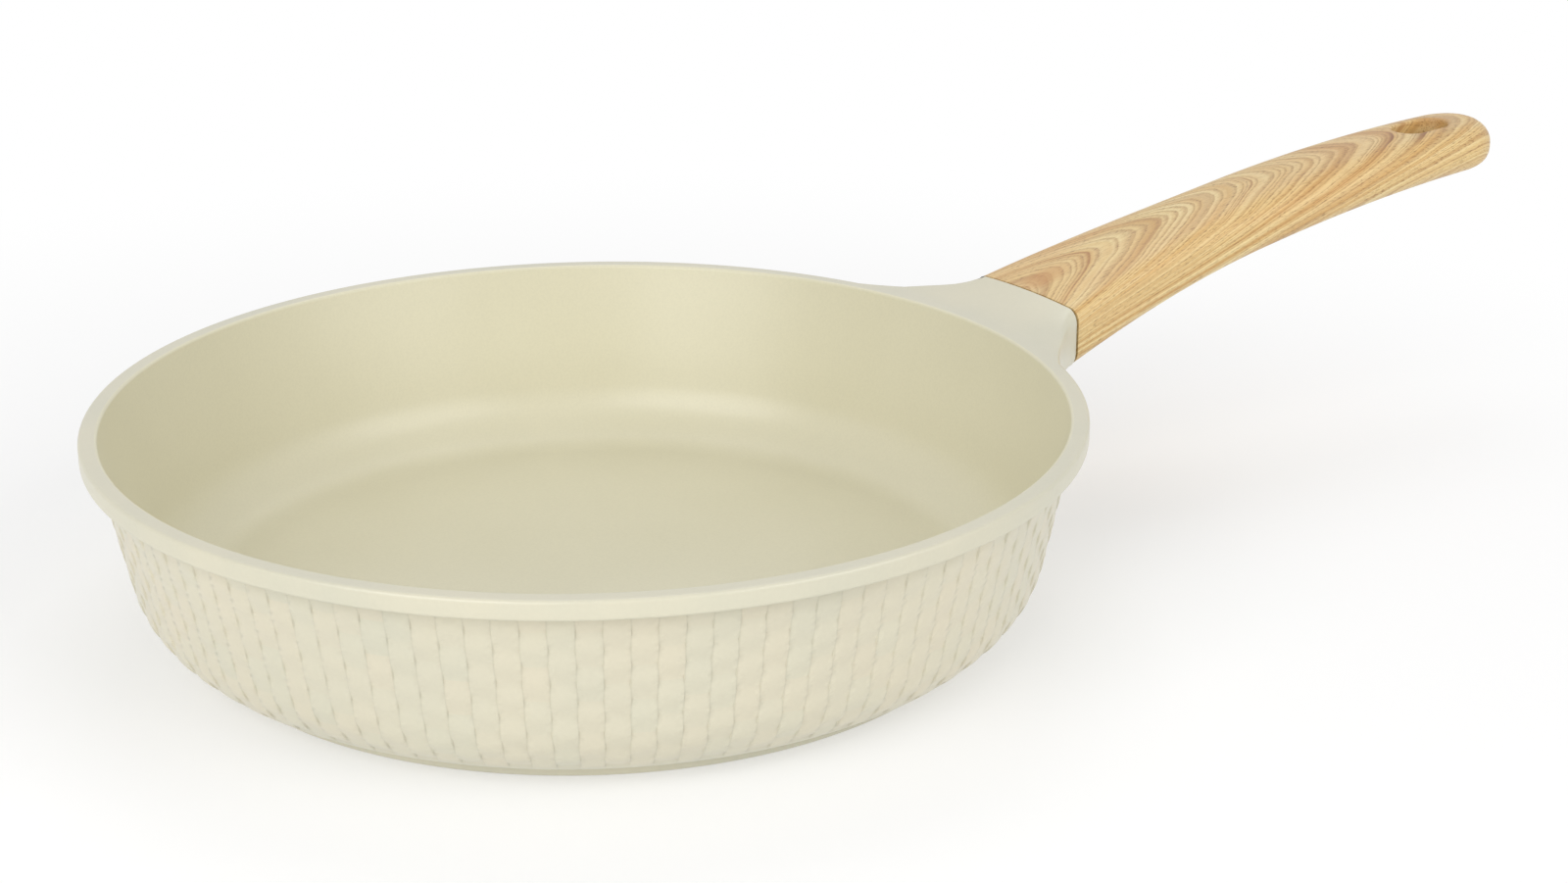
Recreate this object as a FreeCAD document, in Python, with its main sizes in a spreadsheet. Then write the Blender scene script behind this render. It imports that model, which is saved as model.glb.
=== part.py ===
import FreeCAD, Part
import math
import os

import Sketcher

# A die-cast frying pan with a moulded handle, in millimetres.
# The origin is the centre of the base's underside, +Z is up and the handle points along +X.

SIZES = {
    # pan: overall
    "rim_radius": 140.0,
    "pan_height": 60.3,
    # pan: the thick band around the rim
    "band_height": 5.4,
    "band_overhang": 4.1,
    "rim_width": 5.3,
    "rim_round": 0.9,
    # pan: side wall and floor
    "wall_taper": 11.7,
    "outer_corner": 23.5,
    "inner_corner": 20.0,
    "foot_radius": 111.2,
    "foot_lift": 2.0,
    "floor_thickness": 4.0,
    # steel disc let into the base
    "plate_radius": 92.0,
    "plate_thickness": 0.8,
    "plate_clearance": 0.1,
    # lug: the cast root that carries the handle
    "lug_reach": 18.6,
    "lug_spread": 25.0,
    "lug_flare": 90.0,
    "lug_rise": 5.2,
    "lug_rise_radius": 90.0,
    "lug_round": 3.0,
    "lug_depth": 14.6,
    # tang: the cast tongue inside the handle
    "tang_length": 30.0,
    "wall_sink": 6.0,
    "tang_width": 22.0,
    "tang_thickness": 6.0,
    "tang_lift": 3.0,
    "tang_angle": 14.0,
    "tang_clearance": 0.3,
    # gasket between the lug and the handle
    "gasket_thickness": 0.8,
    "gasket_inset": 0.9,
    # handle
    "handle_length": 198.6,
    "neck_width": 48.6,
    "grip_width": 35.2,
    "tip_width": 31.6,
    "tip_round": 15.4,
    "flare_length": 92.0,
    "flare_radius": 640.0,
    "tip_rise": 28.8,
    "under_rise": 32.0,
    "top_arc": 720.0,
    "under_arc": 800.0,
    "handle_round": 6.5,
    # hang hole near the handle's tip
    "hang_length": 22.0,
    "hang_width": 12.0,
    "hang_setback": 28.0,
    "hang_corner": 5.6,
    "hang_round": 0.8,
    # screw that holds the handle on the tang
    "screw_setback": 18.0,
    "screw_diameter": 4.0,
    "screw_clearance": 0.2,
    "head_diameter": 8.0,
    "head_height": 2.2,
    "drive_length": 4.4,
    "drive_width": 0.9,
    "drive_depth": 1.3,
    "washer_diameter": 9.0,
    "washer_thickness": 0.8,
    "counterbore_diameter": 10.0,
    "web_thickness": 1.8,
    "plug_thickness": 1.2,
    "plug_gap": 0.2,
    "insert_diameter": 6.0,
    "insert_length": 4.6,
    "fit_clearance": 0.05,
}

doc = FreeCAD.newDocument("frying_pan")
sheet = doc.addObject("Spreadsheet::Sheet", "Sizes")
for row, (alias, value) in enumerate(SIZES.items(), start=1):
    sheet.set("A%d" % row, alias)
    sheet.set("B%d" % row, str(value))
    sheet.setAlias("B%d" % row, alias)
doc.recompute()

# Places that several sub-parts share, as expressions on the sheet.
SEAM = "(Sizes.rim_radius + Sizes.lug_reach)"
NECK = "(%s + Sizes.gasket_thickness)" % SEAM
TIP = "(%s + Sizes.handle_length)" % NECK
LUG_TOP = "(Sizes.pan_height + Sizes.lug_rise)"
LUG_UNDER = "(Sizes.pan_height - Sizes.lug_depth)"
LUG_ROOT_HALF = "(Sizes.neck_width / 2 + Sizes.lug_spread)"
TANG_AT_SEAM = "((%s + %s) / 2 + Sizes.tang_lift)" % (LUG_TOP, LUG_UNDER)
TANG_SLOPE = "tan(Sizes.tang_angle * 1 deg)"
TANG_HALF = "(Sizes.tang_thickness / 2 / cos(Sizes.tang_angle * 1 deg))"
WALL_SLOPE = "tan(Sizes.wall_taper * 1 deg)"
WALL_SINE = "sin(Sizes.wall_taper * 1 deg)"
WALL_COSINE = "cos(Sizes.wall_taper * 1 deg)"
CORNER_RATIO = "tan((90 + Sizes.wall_taper) / 2 * 1 deg)"
SCREW_X = "(%s + Sizes.screw_setback)" % SEAM
TANG_AT_SCREW = "(%s + Sizes.screw_setback * %s)" % (TANG_AT_SEAM, TANG_SLOPE)
MORTISE_UNDER = "(%s - %s - Sizes.tang_clearance - Sizes.counterbore_diameter / 2 * %s)" % (
    TANG_AT_SCREW, TANG_HALF, TANG_SLOPE)
BORE_FLOOR = "(%s - Sizes.web_thickness)" % MORTISE_UNDER
WASHER_UNDER = "(%s - Sizes.washer_thickness)" % BORE_FLOOR
HEAD_UNDER = "(%s - Sizes.head_height)" % WASHER_UNDER
PLUG_TOP = "(%s - Sizes.plug_gap)" % HEAD_UNDER


def new_body(label):
    """An empty body whose label names its file."""
    body = doc.addObject("PartDesign::Body", label)
    body.Label = label
    return body


def new_sketch(body, name, plane, offset=None):
    """A sketch on one of the body's own origin planes, lifted along its normal by an expression."""
    sketch = body.newObject("Sketcher::SketchObject", name)
    support = [item for item in body.Origin.OriginFeatures if item.Role == plane][0]
    sketch.AttachmentSupport = (support, "")
    sketch.MapMode = "FlatFace"
    if offset:
        sketch.setExpression("AttachmentOffset.Base.z", offset)
    doc.recompute()
    return sketch


def pin_down(sketch, kind, value, expression, *geometry):
    """Adds one dimension to a sketch and ties it to the sheet."""
    index = sketch.addConstraint(Sketcher.Constraint(kind, *geometry, value))
    sketch.setExpression("Constraints[%d]" % index, expression)


def outline(sketch, corners):
    """Draws a closed outline through corners given as (x, y) or (x, y, radius name, side).

    A radius makes the edge that leaves the corner an arc. Side is +1 when the arc's middle bulges
    to the left of the way it runs, and -1 when it bulges to the right.
    """
    marks = []
    for number, corner in enumerate(corners):
        start = FreeCAD.Vector(number + 1.0, number ** 2 + 1.0, 0)
        mark = sketch.addGeometry(Part.Point(start), True)
        pin_down(sketch, "DistanceX", start.x, corner[0], -1, 1, mark, 1)
        pin_down(sketch, "DistanceY", start.y, corner[1], -1, 1, mark, 1)
        marks.append(mark)
    doc.recompute()
    places = [FreeCAD.Vector(sketch.Geometry[mark].X, sketch.Geometry[mark].Y, 0) for mark in marks]
    for number, corner in enumerate(corners):
        following = (number + 1) % len(corners)
        start = places[number]
        end = places[following]
        if len(corner) == 2:
            edge = sketch.addGeometry(Part.LineSegment(start, end), False)
            first, last = 1, 2
        else:
            radius = sheet.get(corner[2])
            chord = end - start
            left = FreeCAD.Vector(-chord.y, chord.x, 0).normalize()
            bulge = radius - math.sqrt(radius ** 2 - (chord.Length / 2) ** 2)
            middle = (start + end) * 0.5 + left * bulge * corner[3]
            edge = sketch.addGeometry(Part.Arc(start, middle, end), False)
            first, last = (2, 1) if corner[3] > 0 else (1, 2)  # arcs are stored anticlockwise
            pin_down(sketch, "Radius", radius, "Sizes." + corner[2], edge)
        sketch.addConstraint(Sketcher.Constraint("Coincident", edge, first, marks[number], 1))
        sketch.addConstraint(Sketcher.Constraint("Coincident", edge, last, marks[following], 1))
    doc.recompute()


def circle(sketch, x, diameter):
    """Draws a full circle centred on the sketch's X axis."""
    edge = sketch.addGeometry(Part.Circle(FreeCAD.Vector(1, 0, 0), FreeCAD.Vector(0, 0, 1), 1), False)
    pin_down(sketch, "DistanceX", 1.0, x, -1, 1, edge, 3)
    sketch.addConstraint(Sketcher.Constraint("PointOnObject", edge, 3, -1))
    pin_down(sketch, "Diameter", 2.0, diameter, edge)
    doc.recompute()


def feature(body, kind, name, sketch, length=None, **settings):
    """Adds a sketch-based feature, its length an expression, and checks that it changed the solid."""
    before = body.Shape.Volume if body.Tip else 0.0
    item = body.newObject("PartDesign::" + kind, name)
    item.Profile = sketch
    for key, value in settings.items():
        setattr(item, key, value)
    if length:
        item.setExpression("Length", length)
    sketch.Visibility = False
    doc.recompute()
    if not item.isValid() or abs(body.Shape.Volume - before) < 1e-3:
        raise RuntimeError("%s fails or changes nothing" % name)
    return item


def turn(body, kind, name, sketch):
    """A full revolution or groove about the sketch's vertical axis."""
    return feature(body, kind, name, sketch, ReferenceAxis=(sketch, ["V_Axis"]), Angle=360.0)


def round_edges(body, name, radius, wanted):
    """Rounds every edge of the body's last shape that the test picks out."""
    base = body.Tip
    names = ["Edge%d" % (i + 1) for i, edge in enumerate(base.Shape.Edges) if wanted(edge)]
    if not names:
        raise RuntimeError("%s finds no edge" % name)
    item = body.newObject("PartDesign::Fillet", name)
    item.Base = (base, names)
    item.setExpression("Radius", radius)
    doc.recompute()
    if not item.isValid():
        raise RuntimeError("%s can't be rounded" % name)
    return item


def tang_outline(sketch, root, gap):
    """The tang's side outline from its root to its tip, with a gap all round for its mortise."""
    tip = "(%s + Sizes.tang_length + %s)" % (SEAM, gap)
    half = "(%s + %s)" % (TANG_HALF, gap)
    root_middle = "(%s + (%s - %s) * %s)" % (TANG_AT_SEAM, root, SEAM, TANG_SLOPE)
    tip_middle = "(%s + (%s - %s) * %s)" % (TANG_AT_SEAM, tip, SEAM, TANG_SLOPE)
    outline(sketch, [
        (root, "%s - %s" % (root_middle, half)),
        (tip, "%s - %s" % (tip_middle, half)),
        (tip, "%s + %s" % (tip_middle, half)),
        (root, "%s + %s" % (root_middle, half)),
    ])


def size(name):
    """A plain number from the sheet."""
    return float(sheet.get(name))


def make_pan_body():
    """The casting: lug, bowl, rim band, foot and tang, with recesses for the plate and the insert."""
    body = new_body("pan_body")
    lug = new_sketch(body, "lug_plan", "XY_Plane", LUG_UNDER)
    root = "sqrt((Sizes.rim_radius - Sizes.rim_round) ^ 2 - %s ^ 2)" % LUG_ROOT_HALF
    inside = "(Sizes.rim_radius * 0.8)"
    outline(lug, [
        (inside, "-" + LUG_ROOT_HALF),
        (root, "-" + LUG_ROOT_HALF, "lug_flare", 1),
        (SEAM, "-Sizes.neck_width / 2"),
        (SEAM, "Sizes.neck_width / 2", "lug_flare", 1),
        (root, LUG_ROOT_HALF),
        (inside, LUG_ROOT_HALF),
    ])
    feature(body, "Pad", "lug", lug, "Sizes.lug_depth + Sizes.lug_rise")
    ramp = new_sketch(body, "lug_top_line", "XZ_Plane")
    above = "(%s + Sizes.lug_rise)" % LUG_TOP
    outline(ramp, [
        (inside, "Sizes.pan_height"),
        ("Sizes.rim_radius", "Sizes.pan_height", "lug_rise_radius", -1),
        (SEAM, LUG_TOP),
        (SEAM, above),
        (inside, above),
    ])
    feature(body, "Pocket", "lug_top", ramp, Type="ThroughAll", Midplane=True)

    def flank_edge(edge):
        box = edge.BoundBox
        curved_in_plan = box.YLength > 1.0 and box.XLength > 1.0
        return curved_in_plan and box.ZLength < size("lug_depth")

    round_edges(body, "lug_rounding", "Sizes.lug_round", flank_edge)

    blank = new_sketch(body, "bowl_profile", "XZ_Plane")
    band_foot = "(Sizes.pan_height - Sizes.band_height)"
    wall_top = "(Sizes.rim_radius - Sizes.band_overhang)"
    wall_foot = "(%s - (%s - Sizes.foot_lift) * %s)" % (wall_top, band_foot, WALL_SLOPE)
    outer_tangent = "(Sizes.outer_corner / %s)" % CORNER_RATIO
    outline(blank, [
        ("0", "Sizes.foot_lift"),
        ("%s - %s" % (wall_foot, outer_tangent), "Sizes.foot_lift", "outer_corner", -1),
        ("%s + %s * %s" % (wall_foot, outer_tangent, WALL_SINE),
         "Sizes.foot_lift + %s * %s" % (outer_tangent, WALL_COSINE)),
        (wall_top, band_foot),
        ("Sizes.rim_radius - Sizes.rim_round", band_foot, "rim_round", -1),
        ("Sizes.rim_radius", band_foot + " + Sizes.rim_round"),
        ("Sizes.rim_radius", "Sizes.pan_height - Sizes.rim_round", "rim_round", -1),
        ("Sizes.rim_radius - Sizes.rim_round", "Sizes.pan_height"),
        ("0", "Sizes.pan_height"),
    ])
    turn(body, "Revolution", "bowl", blank)

    foot = new_sketch(body, "foot_outline", "XY_Plane")
    circle(foot, "0", "2 * Sizes.foot_radius")
    feature(body, "Pad", "foot", foot, "Sizes.foot_lift + Sizes.floor_thickness")

    cavity = new_sketch(body, "cavity_profile", "XZ_Plane")
    floor_top = "(Sizes.foot_lift + Sizes.floor_thickness)"
    mouth = "(Sizes.rim_radius - Sizes.rim_width)"
    sharp_corner = "(%s - (Sizes.pan_height - %s) * %s)" % (mouth, floor_top, WALL_SLOPE)
    inner_tangent = "(Sizes.inner_corner / %s)" % CORNER_RATIO
    outline(cavity, [
        ("0", floor_top),
        ("%s - %s" % (sharp_corner, inner_tangent), floor_top, "inner_corner", -1),
        ("%s + %s * %s" % (sharp_corner, inner_tangent, WALL_SINE),
         "%s + %s * %s" % (floor_top, inner_tangent, WALL_COSINE)),
        (mouth, "Sizes.pan_height - Sizes.rim_round", "rim_round", 1),
        (mouth + " + Sizes.rim_round", "Sizes.pan_height"),
        (mouth + " + Sizes.rim_round", above),
        ("0", above),
    ])
    turn(body, "Groove", "cavity", cavity)

    recess = new_sketch(body, "plate_recess", "XY_Plane")
    circle(recess, "0", "2 * (Sizes.plate_radius + Sizes.plate_clearance)")
    feature(body, "Pocket", "recess", recess, "Sizes.plate_thickness", Reversed=True)

    tang = new_sketch(body, "tang_side", "XZ_Plane")
    tang_outline(tang, "(%s - Sizes.wall_sink)" % SEAM, "0")
    feature(body, "Pad", "tang", tang, "Sizes.tang_width", Midplane=True)
    bore = new_sketch(body, "insert_bore", "XY_Plane")
    circle(bore, SCREW_X, "Sizes.insert_diameter + 2 * Sizes.fit_clearance")
    feature(body, "Pocket", "insert_hole", bore, Type="ThroughAll", Reversed=True)
    return body


def make_induction_plate():
    """The steel disc pressed into the underside of the base."""
    body = new_body("induction_plate")
    disc = new_sketch(body, "disc_outline", "XY_Plane")
    circle(disc, "0", "2 * Sizes.plate_radius")
    feature(body, "Pad", "disc", disc, "Sizes.plate_thickness")
    return body


def make_handle_gasket():
    """The thin heat-resistant gasket in the seam, with a window for the tang."""
    body = new_body("handle_gasket")
    face = new_sketch(body, "gasket_outline", "YZ_Plane", SEAM)
    half = "(Sizes.neck_width / 2 - Sizes.gasket_inset)"
    under = LUG_UNDER + " + Sizes.gasket_inset"
    top = LUG_TOP + " - Sizes.gasket_inset"
    outline(face, [("-" + half, under), (half, under), (half, top), ("-" + half, top)])
    feature(body, "Pad", "gasket", face, "Sizes.gasket_thickness")

    def corner_edge(edge):
        return edge.BoundBox.XLength > size("gasket_thickness") * 0.9

    round_edges(body, "gasket_corners", "Sizes.handle_round", corner_edge)
    window = new_sketch(body, "tang_window", "YZ_Plane", SEAM)
    gap = "Sizes.tang_clearance"
    side = "(Sizes.tang_width / 2 + %s)" % gap
    low = "%s - %s - %s" % (TANG_AT_SEAM, TANG_HALF, gap)
    high = "%s + Sizes.gasket_thickness * %s + %s + %s" % (TANG_AT_SEAM, TANG_SLOPE, TANG_HALF, gap)
    outline(window, [("-" + side, low), (side, low), (side, high), ("-" + side, high)])
    feature(body, "Pocket", "window", window, Type="ThroughAll", Reversed=True)
    return body


def make_handle():
    """The moulded handle: an arched grip, its mortise, screw bore and hang hole."""
    body = new_body("handle")
    side = new_sketch(body, "side_profile", "XZ_Plane")
    outline(side, [
        (NECK, LUG_UNDER, "under_arc", 1),
        (TIP, LUG_UNDER + " + Sizes.under_rise"),
        (TIP, LUG_TOP + " + Sizes.tip_rise", "top_arc", -1),
        (NECK, LUG_TOP),
    ])
    feature(body, "Pad", "side_block", side, "Sizes.neck_width + 2", Midplane=True)

    plan = new_sketch(body, "plan_trim", "XY_Plane")
    flare_end = "(%s + Sizes.flare_length)" % NECK
    outline(plan, [
        (NECK, "-Sizes.neck_width / 2", "flare_radius", 1),
        (flare_end, "-Sizes.grip_width / 2"),
        (TIP, "-Sizes.tip_width / 2"),
        (TIP, "Sizes.tip_width / 2"),
        (flare_end, "Sizes.grip_width / 2", "flare_radius", 1),
        (NECK, "Sizes.neck_width / 2"),
    ])
    margin = "Sizes.neck_width"
    outline(plan, [
        ("%s - %s" % (NECK, margin), "-" + margin),
        ("%s + %s" % (TIP, margin), "-" + margin),
        ("%s + %s" % (TIP, margin), margin),
        ("%s - %s" % (NECK, margin), margin),
    ])
    feature(body, "Pocket", "plan_cut", plan, Type="ThroughAll", Reversed=True)
    neck = size("rim_radius") + size("lug_reach") + size("gasket_thickness")
    tip = neck + size("handle_length")

    def tip_corner(edge):
        box = edge.BoundBox
        return box.XMin > tip - 0.1 and box.YLength < 0.1

    def long_edge(edge):
        box = edge.BoundBox
        upright = box.ZLength > size("handle_round") and box.YLength < 0.1
        return box.XMax > neck + 0.1 and not upright

    round_edges(body, "tip_rounding", "Sizes.tip_round", tip_corner)
    round_edges(body, "grip_rounding", "Sizes.handle_round", long_edge)

    mortise = new_sketch(body, "mortise_side", "XZ_Plane")
    tang_outline(mortise, "(%s - Sizes.wall_sink)" % NECK, "Sizes.tang_clearance")
    feature(body, "Pocket", "mortise", mortise, "Sizes.tang_width + 2 * Sizes.tang_clearance", Midplane=True)
    bore = new_sketch(body, "screw_bore_outline", "XY_Plane")
    circle(bore, SCREW_X, "Sizes.screw_diameter + 2 * Sizes.screw_clearance")
    feature(body, "Pocket", "screw_bore", bore, TANG_AT_SCREW, Reversed=True)
    counterbore = new_sketch(body, "counterbore_outline", "XY_Plane")
    circle(counterbore, SCREW_X, "Sizes.counterbore_diameter")
    feature(body, "Pocket", "counterbore", counterbore, BORE_FLOOR, Reversed=True)

    hang = new_sketch(body, "hang_outline", "XY_Plane")
    middle = "(%s - Sizes.hang_setback)" % TIP
    half_length = "Sizes.hang_length / 2"
    half_width = "Sizes.hang_width / 2"
    outline(hang, [
        ("%s - %s" % (middle, half_length), "-" + half_width),
        ("%s + %s" % (middle, half_length), "-" + half_width),
        ("%s + %s" % (middle, half_length), half_width),
        ("%s - %s" % (middle, half_length), half_width),
    ])
    feature(body, "Pocket", "hang_hole", hang, Type="ThroughAll", Reversed=True)
    hang_centre = tip - size("hang_setback")

    def near_hang_hole(edge):
        box = edge.BoundBox
        along = abs(box.Center.x - hang_centre) < size("hang_length") / 2 + 0.1
        across = abs(box.Center.y) < size("hang_width") / 2 + 0.1
        return along and across and max(abs(box.YMax), abs(box.YMin)) < size("hang_width") / 2 + 0.1

    def hang_corner(edge):
        return near_hang_hole(edge) and edge.BoundBox.ZLength > size("hang_width") / 2

    def hang_lip(edge):
        return near_hang_hole(edge) and edge.BoundBox.ZLength < size("hang_width") / 2

    round_edges(body, "hang_corners", "Sizes.hang_corner", hang_corner)
    round_edges(body, "hang_lips", "Sizes.hang_round", hang_lip)
    return body


def make_ring(label, under, thickness, inner, outer):
    """A plain ring on the screw's axis."""
    body = new_body(label)
    rings = new_sketch(body, label + "_outline", "XY_Plane", under)
    circle(rings, SCREW_X, inner)
    circle(rings, SCREW_X, outer)
    feature(body, "Pad", label + "_ring", rings, thickness)
    return body


def make_handle_screw():
    """The pan-head screw, driven from below through the handle into the tang's insert."""
    body = new_body("handle_screw")
    head = new_sketch(body, "head_outline", "XY_Plane", HEAD_UNDER)
    circle(head, SCREW_X, "Sizes.head_diameter")
    feature(body, "Pad", "head", head, "Sizes.head_height")
    shank = new_sketch(body, "shank_outline", "XY_Plane", HEAD_UNDER)
    circle(shank, SCREW_X, "Sizes.screw_diameter")
    feature(body, "Pad", "shank", shank, "%s + Sizes.insert_length / 2 - %s" % (TANG_AT_SCREW, HEAD_UNDER))
    slots = [("Sizes.drive_length", "Sizes.drive_width"), ("Sizes.drive_width", "Sizes.drive_length")]
    for number, (along, across) in enumerate(slots):
        slot = new_sketch(body, "drive_outline_%d" % number, "XY_Plane", HEAD_UNDER)
        outline(slot, [
            ("%s - %s / 2" % (SCREW_X, along), "-%s / 2" % across),
            ("%s + %s / 2" % (SCREW_X, along), "-%s / 2" % across),
            ("%s + %s / 2" % (SCREW_X, along), "%s / 2" % across),
            ("%s - %s / 2" % (SCREW_X, along), "%s / 2" % across),
        ])
        feature(body, "Pocket", "drive_%d" % number, slot, "Sizes.drive_depth", Reversed=True)
    return body


def make_screw_plug():
    """The soft plug that hides the screw in the handle's underside."""
    body = new_body("screw_plug")
    disc = new_sketch(body, "plug_outline", "XY_Plane", PLUG_TOP + " - Sizes.plug_thickness")
    circle(disc, SCREW_X, "Sizes.counterbore_diameter - 2 * Sizes.fit_clearance")
    feature(body, "Pad", "plug", disc, "Sizes.plug_thickness")
    return body


def sub_parts():
    """Every sub-part, in the order in which the pan is put together."""
    return [
        make_pan_body(),
        make_induction_plate(),
        make_ring(
            "thread_insert", "%s - Sizes.insert_length / 2" % TANG_AT_SCREW, "Sizes.insert_length",
            "Sizes.screw_diameter + 2 * Sizes.fit_clearance", "Sizes.insert_diameter"),
        make_handle_gasket(),
        make_handle(),
        make_ring(
            "screw_washer", WASHER_UNDER, "Sizes.washer_thickness",
            "Sizes.screw_diameter + 2 * Sizes.screw_clearance", "Sizes.washer_diameter"),
        make_handle_screw(),
        make_screw_plug(),
    ]


parts = sub_parts()
doc.recompute()
for item in doc.Objects:
    if "Invalid" in item.State or "Error" in item.State:
        raise RuntimeError("%s: %s" % (item.Label, item.State))
for item in parts:
    if item.Shape.isNull() or not item.Shape.isValid():
        raise RuntimeError("%s has no valid shape" % item.Label)
os.makedirs("parts", exist_ok=True)
for item in parts:
    item.Shape.exportStep("parts/%s.step" % item.Label)
    print(item.Label, round(item.Shape.Volume / 1000, 2), "cm3", len(item.Shape.Solids), "solid")
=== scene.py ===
import math
from collections import namedtuple

import bmesh
import bpy
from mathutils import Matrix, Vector


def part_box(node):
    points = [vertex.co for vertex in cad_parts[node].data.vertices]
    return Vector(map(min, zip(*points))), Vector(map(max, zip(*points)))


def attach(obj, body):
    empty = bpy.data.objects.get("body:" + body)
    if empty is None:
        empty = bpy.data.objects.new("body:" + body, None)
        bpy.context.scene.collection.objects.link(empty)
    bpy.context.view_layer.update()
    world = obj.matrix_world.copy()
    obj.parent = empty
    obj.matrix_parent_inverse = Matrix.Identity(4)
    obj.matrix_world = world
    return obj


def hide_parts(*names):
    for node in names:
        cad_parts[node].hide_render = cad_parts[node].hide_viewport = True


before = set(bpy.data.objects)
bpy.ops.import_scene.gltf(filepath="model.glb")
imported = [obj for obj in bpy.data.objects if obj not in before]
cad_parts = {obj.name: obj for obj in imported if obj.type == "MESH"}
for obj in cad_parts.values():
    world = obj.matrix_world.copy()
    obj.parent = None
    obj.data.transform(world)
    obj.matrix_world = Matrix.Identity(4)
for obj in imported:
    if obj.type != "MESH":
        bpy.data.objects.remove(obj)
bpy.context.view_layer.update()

# ---------------------------------------------------------------- sizes, in metres
MM = 0.001
_, body_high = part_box("pan_body")
gasket_low, gasket_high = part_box("handle_gasket")
handle_low, handle_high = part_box("handle")
_, plate_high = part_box("induction_plate")
plug_low, plug_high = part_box("screw_plug")

# the skins meet the CAD pieces that stay, so these come from their boxes
RIM_R = body_high.y
SEAM_X = gasket_low.x           # where the lug ends
NECK_X = gasket_high.x          # where the handle starts
TIP_X = handle_high.x
PLATE_R = plate_high.x + 0.1 * MM
PLATE_TOP = plate_high.z
SCREW_X = (plug_low.x + plug_high.x) / 2
BORE_R = (plug_high.x - plug_low.x) / 2 + 0.05 * MM
BORE_FLOOR = plug_high.z + 0.5 * MM

HEIGHT = 60.3 * MM              # foot to rim
BAND = 5.4 * MM                 # height of the thick band at the rim
BAND_STEP = 4.1 * MM            # how far the band stands out from the wall
RIM_WIDTH = 5.3 * MM            # of the rim's flat top
RIM_ROUND = 0.9 * MM
TAPER = math.radians(11.7)      # wall, from upright
OUTER_CORNER = 23.5 * MM
INNER_CORNER = 20.0 * MM
FOOT_R = 111.2 * MM
FOOT_LIFT = 2.0 * MM
FOOT_EDGE = 0.6 * MM            # rounding at the foot's outer edge
FLOOR_TOP = 6.0 * MM            # height of the floor inside

SLATS = 126                     # upright strips of the weave around the wall
WEAVE_ROW = 10.2 * MM           # one over-and-under of a strip
WEAVE_STOP = 9.0 * MM           # the weave ends this far along the corner above the foot
WEAVE_FADE_LOW = 1.5 * MM       # and fades in and out over these lengths
WEAVE_FADE_HIGH = 0.6 * MM
WEAVE_RELIEF = 0.24 * MM        # half the height between a strip's rise and its dip
WEAVE_CROWN = 0.12 * MM         # how much a strip's edges fall below its middle
WEAVE_SWAY = 0.12 * MM          # how much a rising stretch widens over its neighbours

NECK_HALF = handle_high.y       # half width of the handle and lug where they meet
NECK_TOP = HEIGHT + 5.2 * MM
NECK_UNDER = handle_low.z
LUG_SPREAD = 25.0 * MM          # how much wider the lug's root is, on each side
LUG_FLARE = 90.0 * MM           # radius of its sides in plan
LUG_RAMP = 90.0 * MM            # radius of its rising top
LUG_ROOT = NECK_HALF + LUG_SPREAD
LUG_ANGLE = math.asin(LUG_ROOT / RIM_R)
LUG_START = (math.sqrt(RIM_R ** 2 - LUG_ROOT ** 2), LUG_ROOT)
SEAM_ROUND_TOP = 4.0 * MM
SEAM_ROUND_UNDER = 5.5 * MM
SEAM_CROWN = 1.0 * MM
FACE_ANGLE = math.radians(7.3)  # the stations that end on the flat face at the seam

GRIP_HALF = 17.6 * MM           # half width at the grip
TIP_HALF = 15.8 * MM            # half width at the tip, and the tip's radius in plan
FLARE = 92.0 * MM               # length over which the neck narrows to the grip
GRIP_ROUND = 7.6 * MM
GRIP_CROWN = 1.7 * MM
TIP_TOP = 94.3 * MM             # heights where the bowed top and underside end
TIP_UNDER = 77.7 * MM
TOP_ARC = 720.0 * MM            # radii of those bows
UNDER_ARC = 800.0 * MM
TIP_CENTRE = TIP_X - TIP_HALF
HANG_X = TIP_X - 28.0 * MM
HANG_HALF = 5.0 * MM            # half the straight part of the hang hole
HANG_R = 6.0 * MM
HANG_LIP = 1.0 * MM
HANG_START = TIP_X - 52.0 * MM  # from here to the tip the mesh runs round the hang hole

# mesh steps
CORNER_STEPS = 60               # outer wall's corner, traced as a polyline
WALL_ROWS = 52
ROUND_STEPS = 6                 # each rounding of the band and lug
UNDER_STEPS = 3                 # band's underside
TOP_STEPS = 8                   # rim's top
GRIP_STEPS = 60                 # along the handle up to the hang hole's zone
BESIDE_STEPS = 14               # along the hang hole's zone
TIP_STEPS = 28                  # round the tip
ACROSS = 20                     # across the handle's faces
SIDE_STEPS = 7                  # each rounding of the handle's long edges
FACE_RINGS = 8                  # from the face's edge to the hang hole's lip
LIP_RINGS = 4
BORE_RINGS = 4


def smooth(t):
    """Eases from 0 to 1 between t = 0 and t = 1."""
    t = min(1.0, max(0.0, t))
    return t * t * (3 - 2 * t)


def mix(a, b, t):
    """The value a share t of the way from a to b."""
    return a + (b - a) * t


def arc_points(centre, radius, start, end, count):
    """Points of a circular arc, from the start angle to the end angle in degrees."""
    points = []
    for i in range(count + 1):
        angle = math.radians(mix(start, end, i / count))
        points.append((centre[0] + radius * math.cos(angle), centre[1] + radius * math.sin(angle)))
    return points


def arc_between(start, end, radius, t):
    """A point on the arc of that radius from start to end that bulges to the left, at share t."""
    chord = Vector(end) - Vector(start)
    half_turn = math.asin(chord.length / 2 / radius)
    middle = (Vector(start) + Vector(end)) / 2
    left = Vector((-chord.y, chord.x)).normalized()
    centre = middle - left * math.sqrt(radius ** 2 - (chord.length / 2) ** 2)
    first = math.atan2(start[1] - centre.y, start[0] - centre.x)
    angle = first - 2 * half_turn * t
    return centre.x + radius * math.cos(angle), centre.y + radius * math.sin(angle)


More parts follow.
